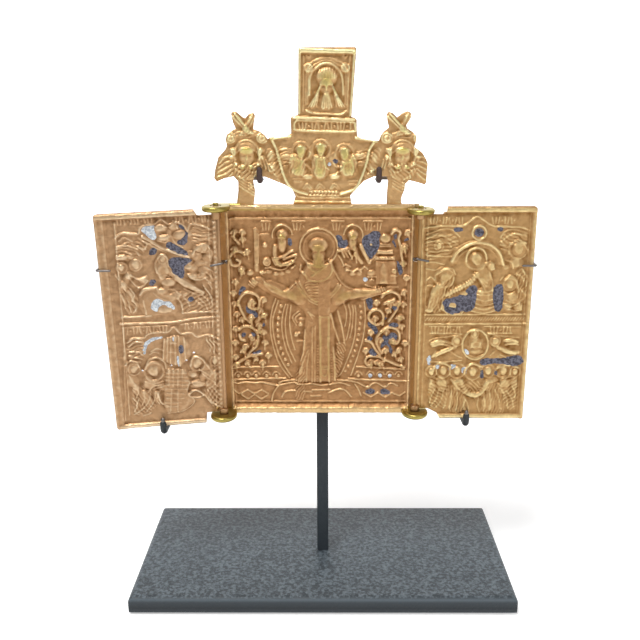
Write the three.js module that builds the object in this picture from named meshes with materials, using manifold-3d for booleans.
// A cast copper-alloy folding travel icon with a pierced crest, open on a wire display stand.
// Millimetres, +Z up, the viewer stands at -Y. The origin is the middle of the stand's underside.
// The centre leaf carries four lugs. Each wing turns in two of them on pins cast with it, and the
// left wing's lugs reach further forward, so that it folds flat over the right wing.

import * as THREE from 'three';
import { mergeVertices } from 'three/addons/utils/BufferGeometryUtils.js';
import Module from 'manifold-3d';

const wasm = await Module();
wasm.setup();

// Stand base and stem
const base_width = 152.4;
const base_depth = 70.4;
const base_thickness = 6.9;
const base_edge_round = 1.1;
const base_corner_round = 2.0;
const felt_thickness = 1.0;
const felt_inset = 2.5;
const stem_side = 4.76;
const stem_top_above_arm = 14.0;
const screw_radius = 1.25;
const screw_head_radius = 2.9;
const screw_head_height = 1.8;
const screw_depth_in_stem = 9.0;
const thread_clearance = 0.3;

// Stand wires
const arm_height = 2.4;
const arm_depth = 1.8;
const arm_level = 60.8;
const seat_gap = 0.3;
const prong_radius = 0.42;
const prong_reach = 5.4;
const prong_bend = 1.0;
const prong_clearance = 0.25;
const inner_prong_reach = 4.8;
const inner_prong_rise_left = 2.0;
const inner_prong_rise_right = 3.0;
const inner_prong_droop = 1.0;
const hook_wire_radius = 0.8;
const hook_sleeve_radius = 1.25;
const hook_bend = 2.1;
const hook_tip_height = 6.2;
const hook_bare_tip = 1.3;
const hook_place_left = 23.6;
const hook_place_right = 20.4;
const crest_wire_radius = 0.65;
const crest_sleeve_radius = 1.05;
const crest_hook_bend = 1.7;
const crest_hook_tip = 5.2;
const crest_hook_in_left = 5.4;
const crest_hook_in_right = 6.5;
const sleeve_play = 0.1;
const pad_width = 4.0;
const pad_height = 8.0;
const pad_thickness = 0.65;

// Centre leaf
const icon_shift = -1.1;
const panel_level = 73.2;
const panel_half = 35.5;
const panel_middle = 0.35;
const panel_height = 83.6;
const panel_thickness = 1.6;
const edge_flange = 1.8;
const edge_flange_depth = 0.9;
const rail_depth = 3.3;
const top_rail_height = 2.4;
const bottom_rail_height = 3.1;
const fillet_width = 0.7;
const fillet_depth = 0.7;
const fillet_inset = 2.4;
const relief_depth = 1.25;
const halo_depth = 0.45;

// Lugs and hinges
const hinge_gap_left = 2.75;
const hinge_gap_right = 2.05;
const hinge_front_left = 7.1;
const hinge_front_right = 4.3;
const lug_radius = 5.2;
const lug_reach = 6.3;
const lug_thickness = 2.0;
const lug_hole_radius = 2.1;
const lug_hole_wear = 0.5;
const top_lug_rise = 0.4;
const top_lug_drop_right = 1.6;
const lug_root_inward = 9.0;
const lug_root_outward = 2.5;
const pin_radius = 1.75;
const pin_nub_radius = 1.2;
const pin_nub_height = 1.0;
const bead_radius = 0.7;
const edge_past_pin_left = 1.35;
const edge_past_pin_right = 0.7;
const hinge_play = 0.35;

// Wings
const wing_width = 43.3;
const wing_below = 2.0;
const wing_top_drop = 0.7;
const wing_back = 1.8;
const wing_field = 0.5;
const wing_rail_front = 0.6;
const wing_stile = 4.1;
const wing_top_rail = 2.3;
const wing_bottom_rail = 2.0;
const wing_hinge_rail = 1.8;
const divider_height = 2.6;
const divider_level = 41.2;
const band_height = 4.4;
const left_notch_top = 8.2;
const left_notch_bottom = 7.3;
const right_notch_top = 9.9;
const right_notch_bottom = 10.3;
const notch_slope = 1.4;
const notch_slope_steep = 0.5;
const notch_step = 2.2;
const left_open_angle = 6.0;
const left_sag = 1.6;
const left_lean = 1.3;

// Crest
const crest_middle = 0.8;
const crest_thickness = 1.7;
const plaque_width = 19.6;
const plaque_height = 23.8;
const plaque_flare = 0.7;
const plaque_offset = 1.4;
const plaque_lean = 2.0;
const plaque_rim = 1.1;
const plaque_rim_depth = 0.9;
const title_width = 23.6;
const title_height = 7.8;
const bowl_half_width = 18.3;
const bowl_height = 24.0;
const bowl_rim_width = 1.4;
const cherub_spacing = 27.9;
const cherub_width = 20.0;
const cherub_height = 23.6;
const post_width = 6.2;
const post_flare = 0.5;
const post_height = 10.2;
const web_height = 13.4;

// Steps used for rounded shapes
const round_steps = 24;
const bend_steps = 4;
const wire_sides = 10;
const dome_steps = 4;
const ridge_sides = 3;

// Sizes that follow from the ones above
const stem_half = stem_side / 2;
const underside = felt_thickness + base_thickness;
const leaf_back = -(stem_half + pad_thickness);
const wing_height = panel_height - wing_top_drop + wing_below;
const arm_middle_level = panel_level + arm_level;
const half_turn = Math.PI;
const quarter_turn = half_turn / 2;
const degree = half_turn / 180;

// Turns a closed three.js geometry into a solid
function solid(geometry) {
  geometry.deleteAttribute('normal');
  geometry.deleteAttribute('uv');
  const merged = mergeVertices(geometry, 1e-4);
  return new wasm.Manifold(new wasm.Mesh({
    numProp: 3,
    vertProperties: Float32Array.from(merged.attributes.position.array),
    triVerts: Uint32Array.from(merged.index.array),
  }));
}

// Turns a solid back into a geometry for a mesh
function surface(body) {
  const mesh = body.getMesh();
  const geometry = new THREE.BufferGeometry();
  const stride = mesh.numProp;
  const points = new Float32Array(mesh.vertProperties.length / stride * 3);
  for (let i = 0; i * stride < mesh.vertProperties.length; i += 1) {
    points.set(mesh.vertProperties.subarray(i * stride, i * stride + 3), i * 3);
  }
  geometry.setAttribute('position', new THREE.BufferAttribute(points, 3));
  geometry.setIndex(new THREE.BufferAttribute(Uint32Array.from(mesh.triVerts), 1));
  return geometry;
}

function join(bodies) {
  return bodies.reduce((whole, body) => whole.add(body));
}

// An outline drawn in x and z, standing between two depths measured forward from the back
function plate(outline, back, front, steps = round_steps / 3) {
  const geometry = new THREE.ExtrudeGeometry(outline, {
    depth: front - back, bevelEnabled: false, curveSegments: steps,
  });
  geometry.translate(0, 0, back);
  geometry.rotateX(quarter_turn);
  return solid(geometry);
}

function outlineOf(points) {
  return new THREE.Shape(points.map(([x, z]) => new THREE.Vector2(x, z)));
}

function block(x0, x1, z0, z1, back, front) {
  return plate(outlineOf([[x0, z0], [x1, z0], [x1, z1], [x0, z1]]), back, front);
}

// A half-round swelling on the leaf's face, and a flat disc for a halo
function dome(x, z, half_width, half_height, back, rise, tilt = 0) {
  const geometry = new THREE.SphereGeometry(1, dome_steps * 2, dome_steps);
  geometry.scale(half_width, rise, half_height);
  geometry.rotateY(-tilt * degree);
  geometry.translate(x, -back, z);
  return solid(geometry);
}

function disc(x, z, radius, back, front, steps = round_steps / 3) {
  const outline = new THREE.Shape().absarc(x, z, radius, 0, half_turn * 2);
  return plate(outline, back, front, steps);
}

// A raised cord that follows points given in x and z on a face at one depth
function ridge(points, radius, depth, steps = points.length * 3) {
  const path = new THREE.CatmullRomCurve3(points.map(([x, z]) => new THREE.Vector3(x, -depth, z)));
  const section = new THREE.Shape().absarc(0, 0, radius, 0, half_turn * 2);
  return solid(new THREE.ExtrudeGeometry(section, {
    steps, extrudePath: path, curveSegments: ridge_sides,
  }));
}

// A wire's centre line: straight legs joined by round bends, with its own even frames
class WirePath extends THREE.Curve {
  constructor(corners, bend) {
    super();
    const places = corners.map((corner) => new THREE.Vector3(...corner));
    this.places = [places[0]];
    for (let i = 1; i < places.length - 1; i += 1) {
      const into = places[i - 1].clone().sub(places[i]).normalize();
      const out = places[i + 1].clone().sub(places[i]).normalize();
      const half_angle = into.angleTo(out) / 2;
      const setback = bend / Math.tan(half_angle);
      const centre = places[i].clone()
        .add(into.clone().add(out).normalize().multiplyScalar(bend / Math.sin(half_angle)));
      const start = places[i].clone().addScaledVector(into, setback).sub(centre);
      const axis = into.clone().cross(out).normalize();
      const sweep = half_turn - half_angle * 2;
      for (let k = 0; k <= bend_steps; k += 1) {
        this.places.push(start.clone().applyAxisAngle(axis, -sweep * k / bend_steps).add(centre));
      }
    }
    this.places.push(places[places.length - 1]);
  }

  get steps() {
    return this.places.length - 1;
  }

  getPoint(t, target = new THREE.Vector3()) {
    const at = Math.min(t * this.steps, this.steps);
    const index = Math.min(Math.floor(at), this.steps - 1);
    return target.lerpVectors(this.places[index], this.places[index + 1], at - index);
  }

  getPointAt(t, target) {
    return this.getPoint(t, target);
  }

  getSpacedPoints() {
    return this.places.map((place) => place.clone());
  }

  getTangentAt(t, target = new THREE.Vector3()) {
    const index = Math.round(t * this.steps);
    const ahead = this.places[Math.min(index + 1, this.steps)].clone().sub(this.places[index]);
    const behind = this.places[index].clone().sub(this.places[Math.max(index - 1, 0)]);
    return target.copy(ahead.normalize().add(behind.normalize())).normalize();
  }
}

function wire(path, radius, bore = 0) {
  const section = new THREE.Shape().absarc(0, 0, radius, 0, half_turn * 2);
  if (bore > 0) {
    section.holes.push(new THREE.Path().absarc(0, 0, bore, 0, half_turn * 2));
  }
  return new THREE.ExtrudeGeometry(section, {
    steps: path.steps, extrudePath: path, curveSegments: wire_sides / 2,
  });
}

// Finishes of the pieces
function finish(colour, roughness, metalness) {
  return new THREE.MeshStandardMaterial({ color: colour, roughness, metalness });
}

const black_paint = () => finish('#33383c', 0.75, 0.2);
const grey_steel = () => finish('#7f8488', 0.4, 0.9);
const black_sleeve = () => finish('#1d2224', 0.7, 0);
const brown_sleeve = () => finish('#3f2b22', 0.7, 0);
const dark_felt = () => finish('#1c1c1d', 0.95, 0);
const copper_alloy = () => finish('#b8895b', 0.4, 1);

const group = new THREE.Group();

function add(name, geometry, material, parent = group) {
  const mesh = new THREE.Mesh(geometry, material);
  mesh.name = name;
  parent.add(mesh);
  return mesh;
}

// Base: a painted slab with rounded edges, felt under it, and the screw that holds the stem
function roundedPlan(half_x, half_y, corner) {
  const plan = new THREE.Shape();
  plan.moveTo(half_x, -half_y + corner);
  plan.absarc(half_x - corner, half_y - corner, corner, 0, quarter_turn);
  plan.absarc(-half_x + corner, half_y - corner, corner, quarter_turn, half_turn);
  plan.absarc(-half_x + corner, -half_y + corner, corner, half_turn, half_turn + quarter_turn);
  plan.absarc(half_x - corner, -half_y + corner, corner, -quarter_turn, 0);
  return plan;
}

function upright(radius_low, radius_high, low, high, x = 0, sides = round_steps) {
  const geometry = new THREE.CylinderGeometry(radius_high, radius_low, high - low, sides);
  geometry.rotateX(quarter_turn);
  geometry.translate(x, 0, (low + high) / 2);
  return solid(geometry);
}

function makeBase() {
  const edge = base_edge_round;
  const plan = roundedPlan(base_width / 2 - edge, base_depth / 2 - edge, base_corner_round);
  const slab = new THREE.ExtrudeGeometry(plan, {
    depth: base_thickness - edge * 2, bevelEnabled: true, bevelThickness: edge,
    bevelSize: edge, bevelSegments: 3, curveSegments: 3,
  });
  slab.translate(0, 0, felt_thickness + edge);
  const head_seat = felt_thickness + screw_head_height;
  const shank_bore = upright(screw_radius + thread_clearance, screw_radius + thread_clearance,
    felt_thickness - edge, underside + edge);
  const head_bore = upright(screw_head_radius + thread_clearance, screw_radius + thread_clearance,
    felt_thickness, head_seat + thread_clearance);
  const mouth = upright(screw_head_radius + thread_clearance, screw_head_radius + thread_clearance,
    felt_thickness - edge, felt_thickness + thread_clearance);
  const drilled = solid(slab).subtract(join([shank_bore, head_bore, mouth]));
  add('base_plate', surface(drilled), black_paint());

  const felt = new THREE.ExtrudeGeometry(
    roundedPlan(base_width / 2 - felt_inset, base_depth / 2 - felt_inset, base_corner_round),
    { depth: felt_thickness, bevelEnabled: false, curveSegments: 4 },
  );
  add('base_felt', felt, dark_felt());
}

function makeStem() {
  const top = arm_middle_level + stem_top_above_arm;
  const bar = new THREE.BoxGeometry(stem_side, stem_side, top - underside);
  bar.translate(0, 0, (top + underside) / 2);
  const bore = upright(screw_radius + thread_clearance, screw_radius + thread_clearance,
    underside - screw_depth_in_stem, underside + screw_depth_in_stem + thread_clearance);
  add('stem', surface(solid(bar).subtract(bore)), black_paint());

  const head = upright(screw_head_radius, screw_radius,
    felt_thickness + thread_clearance, felt_thickness + thread_clearance + screw_head_height);
  const shank = upright(screw_radius, screw_radius,
    felt_thickness + screw_head_height, underside + screw_depth_in_stem);
  add('stem_screw', surface(head.add(shank)), grey_steel());
}

function makePads() {
  const low = panel_level + bottom_rail_height + pad_height;
  const high = arm_middle_level + stem_top_above_arm - pad_height;
  for (const [name, level] of [['back_pad_lower', low], ['back_pad_upper', high]]) {
    const pad = new THREE.BoxGeometry(pad_width, pad_thickness, pad_height);
    pad.translate(0, -stem_half - pad_thickness / 2, level);
    add(name, pad, dark_felt());
  }
}

// The line of a wing's pins, across the centre leaf and in front of its back
function hingeAcross(side) {
  return panel_middle + side * (panel_half + (side < 0 ? hinge_gap_left : hinge_gap_right));
}

// Where a wing stands at rest, seen from above: its pin line and a point out along it
function wingPlace(side) {
  const open = side < 0 ? left_open_angle * degree : 0;
  const front = side < 0 ? hinge_front_left : hinge_front_right;
  const pin = new THREE.Vector2(icon_shift + hingeAcross(side), leaf_back - front);
  return {
    pin,
    open,
    at: (out, ahead) => new THREE.Vector2(
      pin.x + side * (out * Math.cos(open) - ahead * Math.sin(open)),
      pin.y - out * Math.sin(open) - ahead * Math.cos(open),
    ),
  };
}

const sides = [['left', -1], ['right', 1]];

// An inner prong rises from the arm, through the gap at the hinge, to the front of the wing
function innerProng(side) {
  const gap = side < 0 ? hinge_gap_left - edge_past_pin_left : hinge_gap_right - edge_past_pin_right;
  const x = icon_shift + panel_middle + side * (panel_half + gap / 2);
  const y = wingPlace(side).pin.y - wing_rail_front - seat_gap - prong_radius * 2;
  const start = stem_half - seat_gap;
  const rise = side < 0 ? inner_prong_rise_left : inner_prong_rise_right;
  const levelAt = (place) => arm_middle_level + rise * (start - place) / (start - y);
  return { x, y, start, levelAt };
}

// Cross arm behind the leaves, with the thin prongs and the sleeved hooks that hold the wings
function makeArmAndProngs() {
  const arm_ends = [];
  for (const [name, side] of sides) {
    const place = wingPlace(side);
    const lean = side < 0 ? left_lean * (arm_level * 2 / wing_height - 1) : 0;
    const start = stem_half - seat_gap;
    const edge = place.at(wing_width + lean, wing_rail_front);
    const outer_x = edge.x + side * (seat_gap + prong_radius);
    const outer_y = edge.y - seat_gap - prong_radius;
    arm_ends.push(outer_x + side * prong_radius);
    add(`prong_${name}_outer`, wire(new WirePath([
      [outer_x, start, arm_middle_level],
      [outer_x, outer_y, arm_middle_level],
      [outer_x - side * prong_reach, outer_y, arm_middle_level],
    ], prong_bend), prong_radius), grey_steel());

    const inner = innerProng(side);
    const level = inner.levelAt(inner.y);
    add(`prong_${name}_inner`, wire(new WirePath([
      [inner.x, inner.start, inner.levelAt(inner.start)],
      [inner.x, inner.y, level],
      [inner.x + side * inner_prong_reach, inner.y, level - inner_prong_droop],
    ], prong_bend), prong_radius), grey_steel());

    const out = side < 0 ? hook_place_left : hook_place_right;
    const hung = side < 0 ? left_sag * out / wing_width : 0;
    const under = panel_level - wing_below - hung - seat_gap - hook_sleeve_radius;
    const spot = place.at(out, wing_rail_front);
    const front_y = spot.y - seat_gap - hook_sleeve_radius;
    const drop_y = stem_half + arm_depth / 2;
    const arm_under = arm_middle_level - arm_height / 2 - seat_gap;
    const legs = [
      [spot.x, drop_y, arm_under],
      [spot.x, drop_y, under],
      [spot.x, front_y, under],
      [spot.x, front_y, under + hook_tip_height],
    ];
    add(`wing_hook_${name}`, wire(new WirePath(legs, hook_bend), hook_wire_radius), grey_steel());
    const sleeve = [
      [spot.x, drop_y - hook_bend * 1.5, under],
      [spot.x, front_y, under],
      [spot.x, front_y, under + hook_tip_height - hook_bare_tip],
    ];
    add(`wing_hook_sleeve_${name}`,
      wire(new WirePath(sleeve, hook_bend), hook_sleeve_radius, hook_wire_radius + sleeve_play),
      black_sleeve());
  }
  const [left_end, right_end] = arm_ends;
  const arm = new THREE.BoxGeometry(right_end - left_end, arm_depth, arm_height);
  arm.translate((left_end + right_end) / 2, stem_half + arm_depth / 2, arm_middle_level);
  add('wing_arm', arm, grey_steel());
}

// Sleeved hooks that come through the crest's windows and carry the icon
function makeCrestHooks() {
  const window_top = panel_level + panel_height + post_height;
  for (const [name, side] of sides) {
    const post_x = icon_shift + crest_middle + side * cherub_spacing;
    const hook_x = post_x - side * (side < 0 ? crest_hook_in_left : crest_hook_in_right);
    const under = window_top - seat_gap - crest_sleeve_radius;
    const rise_y = stem_half + arm_depth / 2;
    const front_y = leaf_back - crest_thickness - relief_depth - seat_gap - crest_sleeve_radius;
    add(`crest_hook_${name}`, wire(new WirePath([
      [post_x, rise_y, arm_middle_level + arm_height / 2 + seat_gap],
      [post_x, rise_y, under],
      [hook_x, rise_y, under],
      [hook_x, front_y, under],
      [hook_x, front_y, under + crest_hook_tip],
    ], crest_hook_bend), crest_wire_radius), grey_steel());
    add(`crest_hook_sleeve_${name}`, wire(new WirePath([
      [hook_x, rise_y - crest_hook_bend * 1.5, under],
      [hook_x, front_y, under],
      [hook_x, front_y, under + crest_hook_tip - seat_gap],
    ], crest_hook_bend), crest_sleeve_radius, crest_wire_radius + sleeve_play), brown_sleeve());
  }
}

// Lugs: worn rings on short roots at the corners of the centre leaf
function lug(side, low) {
  const front = side < 0 ? hinge_front_left : hinge_front_right;
  const x = hingeAcross(side);
  const ring = new THREE.Shape();
  ring.absellipse(x, -front, lug_radius, lug_reach, half_turn, half_turn * 2);
  ring.absellipse(x, -front, lug_radius, Math.min(lug_radius, front), 0, half_turn);
  const ring_body = new THREE.ExtrudeGeometry(ring, {
    depth: lug_thickness, bevelEnabled: false, curveSegments: round_steps / 3,
  });
  const low_front = rail_depth * 0.7;
  const root = outlineOf([
    [lug_root_outward, 0], [lug_root_outward, front * 0.7], [0, front],
    [-lug_radius * 0.9, front], [-lug_radius, low_front], [-lug_root_inward, low_front],
    [-lug_root_inward, 0],
  ].map(([out, ahead]) => [x + side * out, -ahead]));
  const root_body = new THREE.ExtrudeGeometry(root, { depth: lug_thickness, bevelEnabled: false });
  const hole = new THREE.CylinderGeometry(1, 1, lug_thickness * 3, round_steps);
  hole.rotateX(quarter_turn);
  hole.scale(lug_hole_radius, lug_hole_radius + lug_hole_wear, 1);
  hole.translate(x, -front, 0);
  return solid(ring_body).add(solid(root_body)).subtract(solid(hole)).translate([0, 0, low]);
}

function topLugLevel(side) {
  return panel_height - lug_thickness + top_lug_rise - (side > 0 ? top_lug_drop_right : 0);
}

// Haloed half-figures: a disc, a head and shoulders, all as low swellings
function smallFigure(x, z, halo, depth, tilt = 0) {
  return join([
    disc(x, z, halo, depth - fillet_depth, depth + halo_depth * 0.6, dome_steps),
    dome(x, z, halo * 0.52, halo * 0.66, depth, relief_depth * 0.8, tilt),
    dome(x, z - halo * 1.75, halo * 1.05, halo * 1.15, depth, relief_depth * 0.7, tilt),
  ]);
}

// Centre field: shares of the leaf's half width and of its height
const robe_shares = [
  [-0.17, 0.15], [0.18, 0.15], [0.17, 0.34], [0.2, 0.52], [0.36, 0.56], [0.5, 0.6],
  [0.72, 0.585], [0.73, 0.64], [0.5, 0.655], [0.36, 0.69], [0.21, 0.735], [-0.23, 0.735],
  [-0.4, 0.7], [-0.64, 0.685], [-0.65, 0.625], [-0.46, 0.6], [-0.28, 0.54], [-0.19, 0.52],
];
const stole_shares = [[-0.09, 0.15], [0.09, 0.15], [0.1, 0.66], [0.02, 0.7], [-0.1, 0.66]];
const church_shares = [
  [0.52, 0.618], [0.88, 0.618], [0.88, 0.72], [0.84, 0.73], [0.84, 0.765], [0.81, 0.77],
  [0.81, 0.8], [0.76, 0.83], [0.72, 0.87], [0.68, 0.83], [0.63, 0.8], [0.63, 0.77],
  [0.6, 0.765], [0.6, 0.73], [0.52, 0.69],
];
const cloud_shares = [[-0.44, 0.7], [0.42, 0.695]];
const scroll_place_shares = [
  [-0.82, 0.86], [-0.8, 0.76], [-0.8, 0.6], [-0.76, 0.5], [-0.72, 0.4], [-0.78, 0.31],
  [0.84, 0.86], [0.78, 0.52], [0.72, 0.43], [0.82, 0.36], [0.74, 0.28],
];
const scroll_radius_share = 0.085;

function placed(shares, width, height) {
  return shares.map(([x, z]) => [x * width, z * height]);
}

function scroll(x, z, radius, depth, turn) {
  const points = [];
  for (let k = 0; k <= 8; k += 1) {
    const angle = turn * k * quarter_turn * 0.75;
    const reach = radius * (1 - 0.085 * k);
    points.push([x + reach * Math.cos(angle), z + reach * Math.sin(angle)]);
  }
  return ridge(points, fillet_width * 0.6, depth, 8);
}

function mandorla(half_width, low, high, depth) {
  const points = [];
  for (let k = 0; k <= 8; k += 1) {
    const angle = -quarter_turn * 0.8 + k * quarter_turn * 1.35 / 8;
    points.push([half_width * Math.cos(angle), (low + high) / 2 + (high - low) / 2 * Math.sin(angle)]);
  }
  return [
    ridge(points, fillet_width * 0.6, depth, 10),
    ridge(points.map(([x, z]) => [-x, z]), fillet_width * 0.6, depth, 10),
  ];
}

function centreRelief() {
  const depth = panel_thickness;
  const parts = [
    plate(outlineOf(placed(robe_shares, panel_half, panel_height)), 0, depth + relief_depth * 0.6),
    plate(outlineOf(placed(stole_shares, panel_half, panel_height)), 0, depth + relief_depth * 0.85),
    plate(outlineOf(placed(church_shares, panel_half, panel_height)), 0, depth + relief_depth * 0.6),
  ];
  const head_level = panel_height * 0.8;
  const halo = panel_half * 0.2;
  parts.push(disc(0, head_level, halo, 0, depth + halo_depth));
  parts.push(dome(0, head_level - halo * 0.12, halo * 0.5, halo * 0.82, depth, relief_depth));
  for (const side of [-1, 1]) {
    parts.push(dome(side * panel_half * 0.42, panel_height * 0.645, panel_half * 0.26,
      panel_height * 0.036, depth, relief_depth, side * -12));
    parts.push(smallFigure(side * panel_half * 0.39, panel_height * 0.875,
      panel_half * 0.1, depth));
  }
  for (const [x, z] of placed(cloud_shares, panel_half, panel_height)) {
    parts.push(dome(x, z, panel_half * 0.15, panel_height * 0.022, depth, relief_depth * 0.6));
  }
  const blade = fillet_width / 2;
  const grip = -panel_half * 0.69;
  parts.push(block(grip - blade, grip + blade, panel_height * 0.64, panel_height * 0.92, 0,
    depth + relief_depth * 0.6));
  parts.push(block(grip - blade * 6, grip + blade * 6, panel_height * 0.69,
    panel_height * 0.69 + fillet_width, 0, depth + relief_depth * 0.6));
  parts.push(...mandorla(panel_half * 0.55, panel_height * 0.13, panel_height * 0.52, depth));
  parts.push(...mandorla(panel_half * 0.43, panel_height * 0.13, panel_height * 0.52, depth));
  placed(scroll_place_shares, panel_half, panel_height).forEach(([x, z], index) => {
    parts.push(scroll(x, z, panel_half * scroll_radius_share, depth, index % 2 ? 1 : -1));
  });
  for (const share of [0.165, 0.23]) {
    for (const side of [-1, 1]) {
      const inner = side * panel_half * 0.42;
      const outer = side * (panel_half - fillet_inset);
      parts.push(block(Math.min(inner, outer), Math.max(inner, outer), panel_height * share,
        panel_height * share + fillet_width, 0, depth + fillet_depth * 0.7));
    }
  }
  return parts;
}

// Crest: plaque, title bar, bowl-shaped field and two six-winged heads on posts
const bowl_half_shares = [[0.6, 0], [0.54, 0.16], [0.62, 0.27], [0.74, 0.42], [0.86, 0.66], [0.95, 0.9],
  [1, 1]];
const winged_head_shares = [
  [0.16, -0.03], [0.555, -0.05], [0.575, 0.135], [0.445, 0.326], [0.325, 0.432], [0.37, 0.623],
  [0.305, 0.729], [0.195, 0.771], [0.085, 0.835], [0.225, 0.962], [0.175, 1], [0.105, 0.983],
  [-0.015, 0.89], [-0.125, 0.983], [-0.185, 0.966], [-0.17, 0.856], [-0.195, 0.771],
  [-0.355, 0.708], [-0.425, 0.576], [-0.3, 0.3], [-0.16, -0.03],
];
const feather_shares = [
  [[0.12, 0.3], [0.32, 0.2], [0.48, 0.02]],
  [[0.16, 0.44], [0.28, 0.5], [0.33, 0.62]],
  [[0.04, 0.62], [0.1, 0.8], [0.18, 0.94]],
  [[-0.04, 0.62], [-0.08, 0.8], [-0.15, 0.94]],
  [[-0.16, 0.44], [-0.28, 0.5], [-0.36, 0.6]],
];

function wingedHead(side) {
  const foot = panel_height + post_height;
  const middle = crest_middle + side * cherub_spacing;
  const at = (shares) => shares.map(([x, z]) => [
    middle + side * x * cherub_width, foot + z * cherub_height,
  ]);
  const half = post_width / 2;
  const parts = [
    plate(outlineOf(at(winged_head_shares)), 0, crest_thickness),
    plate(outlineOf([
      [middle - half - post_flare, panel_height - top_rail_height],
      [middle + half + post_flare, panel_height - top_rail_height],
      [middle + half, foot + seat_gap],
      [middle - half, foot + seat_gap],
    ]), 0, crest_thickness),
  ];
  const face = foot + cherub_height * 0.33;
  parts.push(disc(middle, face, cherub_width * 0.19, 0, crest_thickness + halo_depth));
  parts.push(dome(middle, face, cherub_width * 0.11, cherub_width * 0.15, crest_thickness,
    relief_depth));
  for (const feather of feather_shares) {
    parts.push(ridge(at(feather), fillet_width * 0.8, crest_thickness, 6));
  }
  return parts;
}

function crestBodies() {
  const foot = panel_height - top_rail_height;
  const bowl_top = panel_height + bowl_height;
  const right = placed(bowl_half_shares, bowl_half_width, bowl_height)
    .map(([x, z]) => [crest_middle + x, panel_height + z]);
  const left = placed(bowl_half_shares, bowl_half_width, bowl_height)
    .map(([x, z]) => [crest_middle - x, panel_height + z]).reverse();
  const waist = bowl_half_shares[0][0] * bowl_half_width;
  const parts = [
    plate(outlineOf([[crest_middle - waist, foot], [crest_middle + waist, foot], ...right, ...left]),
      0, crest_thickness),
  ];
  for (const side of [-1, 1]) {
    parts.push(...wingedHead(side));
    const rim = side < 0 ? left : right;
    parts.push(ridge(rim.slice(side < 0 ? 0 : 1, side < 0 ? -1 : rim.length), bowl_rim_width / 2,
      crest_thickness, 12));
    const web_in = crest_middle + side * bowl_half_width * 0.7;
    const web_bend = crest_middle + side * bowl_half_width * 1.06;
    const web_out = crest_middle + side * (cherub_spacing - post_width / 2);
    const low = panel_height + post_height;
    parts.push(plate(outlineOf([[web_in, low - web_height * 0.28], [web_bend, low], [web_out, low],
      [web_out, low + web_height], [web_in, low + web_height]]), 0, crest_thickness));
    parts.push(smallFigure(crest_middle + side * bowl_half_width * 0.42,
      bowl_top - bowl_height * 0.2, bowl_half_width * 0.13, crest_thickness));
  }
  parts.push(smallFigure(crest_middle, bowl_top - bowl_height * 0.17, bowl_half_width * 0.13,
    crest_thickness));
  parts.push(block(crest_middle - bowl_half_width * 0.36, crest_middle + bowl_half_width * 0.36,
    panel_height + bowl_height * 0.3, panel_height + bowl_height * 0.36, 0,
    crest_thickness + relief_depth * 0.7));

  // Title bar with a rounded border, then the plaque with its rim and its arch
  const middle = crest_middle + plaque_offset;
  const title_low = bowl_top - seat_gap;
  const title_top = bowl_top + title_height;
  const half = title_width / 2;
  parts.push(block(middle - half, middle + half, title_low, title_top, 0, crest_thickness));
  const border = roundedPlan(half - plaque_rim, title_height / 2 - plaque_rim, title_height / 4);
  border.holes.push(roundedPlan(half - plaque_rim - fillet_width,
    title_height / 2 - plaque_rim - fillet_width, title_height / 5));
  parts.push(plate(border, 0, crest_thickness + plaque_rim_depth)
    .translate([middle, 0, (title_low + title_top) / 2]));

  const low_half = plaque_width / 2 - plaque_flare / 2;
  const high_half = plaque_width / 2 + plaque_flare / 2;
  const shift = plaque_height * Math.tan(plaque_lean * degree);
  const corners = (inset) => [
    [middle - low_half + inset, title_top - seat_gap + inset],
    [middle + low_half - inset, title_top - seat_gap + inset],
    [middle + shift + high_half - inset, title_top + plaque_height - inset],
    [middle + shift - high_half + inset, title_top + plaque_height - inset],
  ];
  parts.push(plate(outlineOf(corners(0)), 0, crest_thickness));
  const rim = outlineOf(corners(0));
  rim.holes.push(outlineOf(corners(plaque_rim)));
  parts.push(plate(rim, 0, crest_thickness + plaque_rim_depth));
  const face_x = middle + shift / 2;
  const face_z = title_top + plaque_height * 0.55;
  const arch = [];
  for (let k = 0; k <= 8; k += 1) {
    const angle = -quarter_turn * 0.3 + half_turn * 1.3 * k / 8;
    arch.push([face_x + plaque_width * 0.3 * Math.cos(angle),
      face_z + plaque_height * 0.26 * Math.sin(angle)]);
  }
  parts.push(ridge(arch, fillet_width * 0.7, crest_thickness, 14));
  parts.push(dome(face_x, face_z, plaque_width * 0.15, plaque_height * 0.2, crest_thickness,
    relief_depth));
  parts.push(dome(face_x, title_top + plaque_height * 0.2, plaque_width * 0.3, plaque_height * 0.13,
    crest_thickness, relief_depth * 0.6));
  return parts;
}

// The centre plate widens to its back as it left the mould, with a cut for each inner prong
function centrePlate() {
  const wide = panel_half + edge_flange;
  const section = outlineOf([
    [-wide, 0], [wide, 0], [wide, edge_flange_depth], [panel_half, panel_thickness],
    [-panel_half, panel_thickness], [-wide, edge_flange_depth],
  ].map(([x, ahead]) => [panel_middle + x, -ahead]));
  const body = new THREE.ExtrudeGeometry(section, { depth: panel_height, bevelEnabled: false });
  const reach = prong_radius + prong_clearance;
  const cuts = sides.map(([, side]) => {
    const { levelAt } = innerProng(side);
    const low = levelAt(leaf_back) - panel_level - reach;
    const high = levelAt(leaf_back - panel_thickness) - panel_level + reach;
    const near = panel_middle + side * panel_half;
    const far = near + side * edge_flange * 2;
    return block(Math.min(near, far), Math.max(near, far), low, high, -edge_flange,
      panel_thickness + edge_flange);
  });
  return solid(body).subtract(join(cuts));
}

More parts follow.
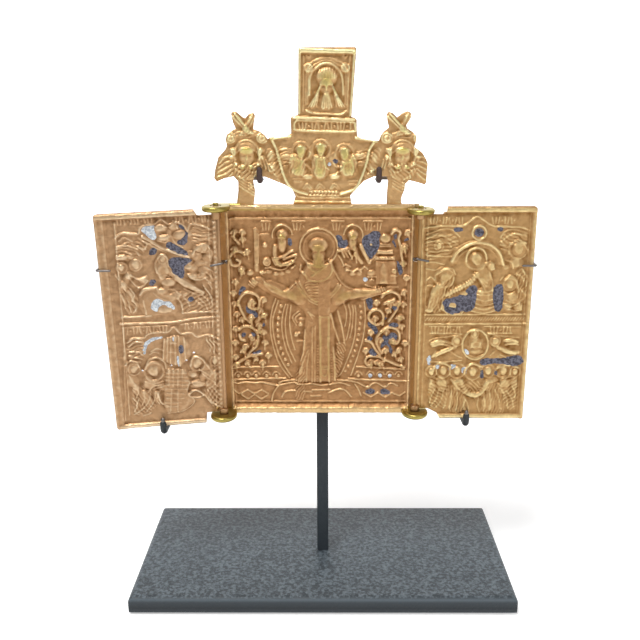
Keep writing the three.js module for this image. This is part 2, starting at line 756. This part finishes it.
function makeCentre(icon) {
  const rail = new THREE.Shape();
  rail.moveTo(0, 0);
  rail.lineTo(rail_depth - fillet_depth, 0);
  rail.quadraticCurveTo(rail_depth, 0, rail_depth, top_rail_height / 2);
  rail.quadraticCurveTo(rail_depth, top_rail_height, rail_depth - fillet_depth, top_rail_height);
  rail.lineTo(0, top_rail_height);
  const moulding = new THREE.ExtrudeGeometry(rail, {
    depth: panel_half * 2, bevelEnabled: false, curveSegments: 4,
  });
  moulding.rotateX(quarter_turn);
  moulding.rotateZ(-quarter_turn);
  moulding.computeBoundingBox();
  moulding.translate(panel_middle - panel_half - moulding.boundingBox.min.x,
    -moulding.boundingBox.max.y, panel_height - top_rail_height - moulding.boundingBox.min.z);

  const left = panel_middle - panel_half;
  const right = panel_middle + panel_half;
  const front = panel_thickness + fillet_depth;
  const bottom_line = bottom_rail_height + fillet_inset * 0.7;
  const top_line = panel_height - top_rail_height - fillet_inset * 0.7;
  const parts = [
    centrePlate(),
    solid(moulding),
    block(left, right, 0, bottom_rail_height, 0, rail_depth),
    block(left, left + fillet_width, 0, panel_height, 0, front),
    block(right - fillet_width, right, 0, panel_height, 0, front),
    block(left, right, bottom_line, bottom_line + fillet_width, 0, front),
    block(left, right, top_line - fillet_width, top_line, 0, front),
    ...centreRelief(),
    ...crestBodies(),
  ];
  for (const side of [-1, 1]) {
    parts.push(lug(side, 0), lug(side, topLugLevel(side)));
  }
  add('centre_leaf', surface(join(parts)), copper_alloy(), icon);
}

// Wings: x runs outward from the pin line, so one drawing serves both sides
const upper_shares = {
  left: [[0.22, 0.8], [0.42, 0.86], [0.62, 0.84], [0.3, 0.66], [0.55, 0.7], [0.8, 0.62]],
  right: [[0.18, 0.82], [0.54, 0.8], [0.84, 0.82], [0.26, 0.66], [0.8, 0.66]],
};
const lower_shares = {
  left: [[0.2, 0.32], [0.42, 0.35], [0.66, 0.35], [0.84, 0.3], [0.78, 0.18]],
  right: [[0.16, 0.24], [0.3, 0.26], [0.44, 0.24], [0.58, 0.26], [0.72, 0.24], [0.5, 0.37]],
};

function wingBody(name, side) {
  const notch_top = side < 0 ? left_notch_top : right_notch_top;
  const notch_bottom = side < 0 ? left_notch_bottom : right_notch_bottom;
  const slope_bottom = side < 0 ? notch_slope_steep : notch_slope;
  const low = -wing_below;
  const high = wing_height - wing_below;
  const hinge_low = lug_thickness + hinge_play;
  const hinge_top = Math.min(topLugLevel(side) - hinge_play, high - notch_step);
  const edge_middle = bead_radius - (side < 0 ? edge_past_pin_left : edge_past_pin_right);
  const edge = [
    [edge_middle, hinge_low], [notch_bottom - slope_bottom, hinge_low], [notch_bottom, low],
    [wing_width, low], [wing_width, high], [notch_top, high],
    [notch_top - notch_slope, hinge_top], [edge_middle, hinge_top],
  ];
  const mirror = (points) => points.map(([x, z]) => [side * x, z]);
  const area = (x0, x1, z0, z1, front) => plate(outlineOf(mirror([
    [x0, z0], [x1, z0], [x1, z1], [x0, z1]])), -wing_back, front);
  const inner = wing_hinge_rail;
  const outer = wing_width - wing_stile;
  const parts = [
    plate(outlineOf(mirror(edge)), -wing_back, -wing_field),
    upright(bead_radius, bead_radius, hinge_low, hinge_top, side * edge_middle, round_steps / 2),
    area(outer, wing_width, low, high, wing_rail_front),
    area(notch_top, wing_width, high - wing_top_rail, high, wing_rail_front),
    area(notch_bottom, wing_width, low, low + wing_bottom_rail, wing_rail_front),
    area(inner, outer, divider_level - divider_height, divider_level, wing_rail_front),
    area(inner, inner + fillet_width, hinge_low, hinge_top, wing_rail_front),
    area(outer - fillet_width * 2, outer - fillet_width, low, high, 0),
    area(notch_top, outer, high - wing_top_rail - band_height,
      high - wing_top_rail - band_height + fillet_width, 0),
  ];
  for (const shares of [upper_shares[name], lower_shares[name]]) {
    for (const [x, z] of shares) {
      parts.push(smallFigure(side * x * wing_width, z * wing_height, wing_width * 0.065,
        -wing_field));
    }
  }

  // Arched tops of the two scenes
  for (const top of [high - wing_top_rail - band_height - fillet_width, divider_level - divider_height
    - fillet_width]) {
    const arch = [];
    for (let k = 0; k <= 6; k += 1) {
      const along = k / 6;
      const drop = wing_stile * (1 - Math.sin(half_turn * along));
      arch.push([side * (inner + fillet_width + (outer - inner - fillet_width * 3) * along),
        top - fillet_width - drop]);
    }
    parts.push(ridge(arch, fillet_width * 0.7, -wing_field, 10));
  }

  // Pins cast at the corners, with a thinner end that stands out above the upper lug
  const pin_low = hinge_play;
  const pin_high = topLugLevel(side) + lug_thickness;
  parts.push(upright(pin_radius, pin_radius, pin_low, hinge_low + pin_radius));
  parts.push(upright(pin_radius, pin_radius, hinge_top - pin_radius, pin_high));
  parts.push(upright(pin_nub_radius, pin_nub_radius * 0.7, pin_high - pin_nub_height,
    pin_high + pin_nub_height));
  return join(parts);
}

// The left wing was cast a little out of square: its outer end hangs and its edge leans
function askew(geometry) {
  const places = geometry.attributes.position;
  for (let i = 0; i < places.count; i += 1) {
    const share = Math.abs(places.getX(i)) / wing_width;
    const up = (places.getZ(i) - wing_height / 2) / (wing_height / 2);
    places.setX(i, places.getX(i) - left_lean * share * up);
    places.setZ(i, places.getZ(i) - left_sag * share);
  }
  return geometry;
}

function makeWings(icon) {
  for (const [name, side] of sides) {
    const geometry = surface(wingBody(name, side));
    const mesh = add(`${name}_wing`, side < 0 ? askew(geometry) : geometry, copper_alloy(), icon);
    const front = side < 0 ? hinge_front_left : hinge_front_right;
    mesh.position.set(hingeAcross(side), -front, 0);
    mesh.rotation.z = side < 0 ? left_open_angle * degree : 0;
  }
}

makeBase();
makeStem();
makePads();
makeArmAndProngs();
makeCrestHooks();

const icon = new THREE.Group();
icon.position.set(icon_shift, leaf_back, panel_level);
group.add(icon);
makeCentre(icon);
makeWings(icon);

export default group;
